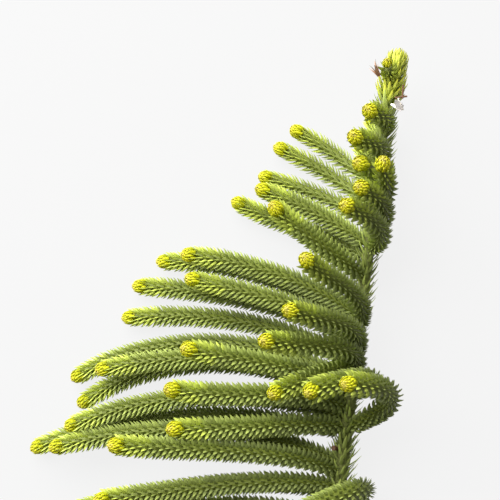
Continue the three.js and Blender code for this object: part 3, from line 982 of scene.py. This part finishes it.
class BOUGH_OT_scraps(bpy.types.Operator):
    """Adds the dead scales and twigs by the leader, a broken shoot and the cut face of the foot"""

    bl_idname = "bough.scraps"
    bl_label = "Scraps"

    def execute(self, context):
        sizes = context.scene.bough_sizes
        colours = context.scene.bough_colours
        tufts = [
            ("dry_scales", DRY_TUFT, sizes.dry_scale, colours.dry_scale),
            ("papery_scales", PAPERY_TUFT, sizes.papery, colours.paper),
        ]
        # Dead scales have lost their wax, so they are matt and bleach from brown to white
        for name, (start, step), kind, colour in tufts:
            line = short_line(start, step, TUFT_RADIUS)
            material = plant_material(
                name.replace("_", " "), colour, colours.paper, tip_share=0.3, roughness=0.7)
            cover(name, [line], kind, material, "woody_stem", ["leader"])

        limbs = [
            ("dry_twiglet", TWIGLET_LINES, TWIGLET_RADIUS, colours.dry_scale, ["leader"]),
            ("broken_shoot", [BROKEN_SHOOT], BROKEN_SHOOT_RADIUS, colours.dry_scale, ["stem"]),
            ("cut_face", [CUT_FACE], CUT_RADIUS, colours.cut_wood, ["stem"]),
        ]
        # Dry wood is matt all over, and pale where it is freshly cut
        for name, steps, radius, colour, nodes in limbs:
            lines = [short_line(start, step, radius) for start, step in steps]
            material = plant_material(
                name.replace("_", " "), colour, colours.paper, tip_share=0, roughness=0.8)
            skin(name, lines, material, nodes, sides=16, relief=0.3 * MM, grain=1.5 * MM)
        return {"FINISHED"}


# Photo framing, in millimetres: the camera looks straight down from above the middle of the picture
PICTURE_MIDDLE = (25.93, 59.9)
SHARP_HEIGHT = 30
CAMERA_DISTANCE = 1000
LENS = 91.4
SENSOR = 36

# Stage, in metres and watts: half the floor's side, the key light's place from the picture's middle, its side
# and its power, and how white the sky and the floor's own glow are
FLOOR_HALF = 12.0
KEY_OFFSET = Vector((-1.2, 1.9, 1.45))
KEY_SIDE = 3.2
KEY_POWER = 290
SKY_STRENGTH = 0.16
FLOOR_GLOW = 0.84


class BOUGH_OT_stage(bpy.types.Operator):
    """Sets the floor, the soft light and the camera"""

    bl_idname = "bough.stage"
    bl_label = "Stage"

    def execute(self, context):
        scene = context.scene
        middle = Vector((PICTURE_MIDDLE[0], PICTURE_MIDDLE[1], SHARP_HEIGHT)) * MM

        lens = bpy.data.cameras.new("Camera")
        lens.lens = LENS
        lens.sensor_width = SENSOR
        camera = bpy.data.objects.new("Camera", lens)
        camera.location = middle + Vector((0, 0, CAMERA_DISTANCE * MM))
        scene.collection.objects.link(camera)
        scene.camera = camera

        mesh = bpy.data.meshes.new("Floor")
        half = FLOOR_HALF
        corners = [(-half, -half, 0), (half, -half, 0), (half, half, 0), (-half, half, 0)]
        mesh.from_pydata(corners, [], [(0, 1, 2, 3)])
        # Matt board lit from below: an even white that takes only faint shadows
        material, _, shader = new_material("matt white board")
        shader.inputs["Base Color"].default_value = scene.bough_colours.floor
        shader.inputs["Roughness"].default_value = 0.9
        shader.inputs["Emission Color"].default_value = (1, 1, 1, 1)
        shader.inputs["Emission Strength"].default_value = FLOOR_GLOW
        mesh.materials.append(material)
        floor = bpy.data.objects.new("Floor", mesh)
        scene.collection.objects.link(floor)

        key = bpy.data.lights.new("Key", "AREA")
        key.energy = KEY_POWER
        key.size = KEY_SIDE
        lamp = bpy.data.objects.new("Key", key)
        lamp.location = middle + KEY_OFFSET
        lamp.rotation_euler = (-KEY_OFFSET).to_track_quat("-Z", "Y").to_euler()
        scene.collection.objects.link(lamp)

        world = bpy.data.worlds.new("Sky")
        world.use_nodes = True
        world.node_tree.nodes["Background"].inputs["Color"].default_value = (1, 1, 1, 1)
        world.node_tree.nodes["Background"].inputs["Strength"].default_value = SKY_STRENGTH
        scene.world = world
        scene.view_settings.view_transform = "Standard"
        return {"FINISHED"}


class BOUGH_PT_panel(bpy.types.Panel):
    """Lists the bough's sizes and colours, and what makes its pieces"""

    bl_idname = "BOUGH_PT_panel"
    bl_label = "Pine bough"
    bl_space_type = "VIEW_3D"
    bl_region_type = "UI"
    bl_category = "Bough"

    def draw(self, context):
        layout = self.layout
        sizes = context.scene.bough_sizes
        kinds = [getattr(sizes, key) for key in NEEDLE_KINDS]
        for group in (*kinds, context.scene.bough_colours):
            layout.label(text=group.bl_rna.name)
            for key in group.bl_rna.properties.keys():
                if key not in ("rna_type", "name"):
                    layout.prop(group, key)
        layout.prop(sizes, "bark_relief")
        for operator in OPERATORS:
            layout.operator(operator.bl_idname)


OPERATORS = (BOUGH_OT_stage, BOUGH_OT_stem, BOUGH_OT_leader, BOUGH_OT_twigs, BOUGH_OT_needles, BOUGH_OT_buds,
             BOUGH_OT_scraps)
NEEDLE_CLASSES = (
    HookedNeedle, ToothedNeedle, SlenderNeedle, BudNeedle, StemNeedle, LeaderNeedle, DryScale, PaperyScale)
NEEDLE_KINDS = ("hooked", "toothed", "slender", "bud", "stem", "leader", "dry_scale", "papery")
CLASSES = (*NEEDLE_CLASSES, BoughSizes, BoughColours, *OPERATORS, BOUGH_PT_panel)


def register():
    """Registers the classes and the scene's own sizes and colours."""
    for cls in CLASSES:
        bpy.utils.register_class(cls)
    bpy.types.Scene.bough_sizes = bpy.props.PointerProperty(type=BoughSizes)
    bpy.types.Scene.bough_colours = bpy.props.PointerProperty(type=BoughColours)


def unregister():
    """Takes away what register adds."""
    del bpy.types.Scene.bough_colours
    del bpy.types.Scene.bough_sizes
    for cls in reversed(CLASSES):
        bpy.utils.unregister_class(cls)


def main():
    """Makes the stage and every piece."""
    register()
    bpy.ops.bough.stage()
    bpy.ops.bough.stem()
    bpy.ops.bough.leader()
    bpy.ops.bough.twigs()
    bpy.ops.bough.needles()
    bpy.ops.bough.buds()
    bpy.ops.bough.scraps()


if __name__ == "__main__":
    main()
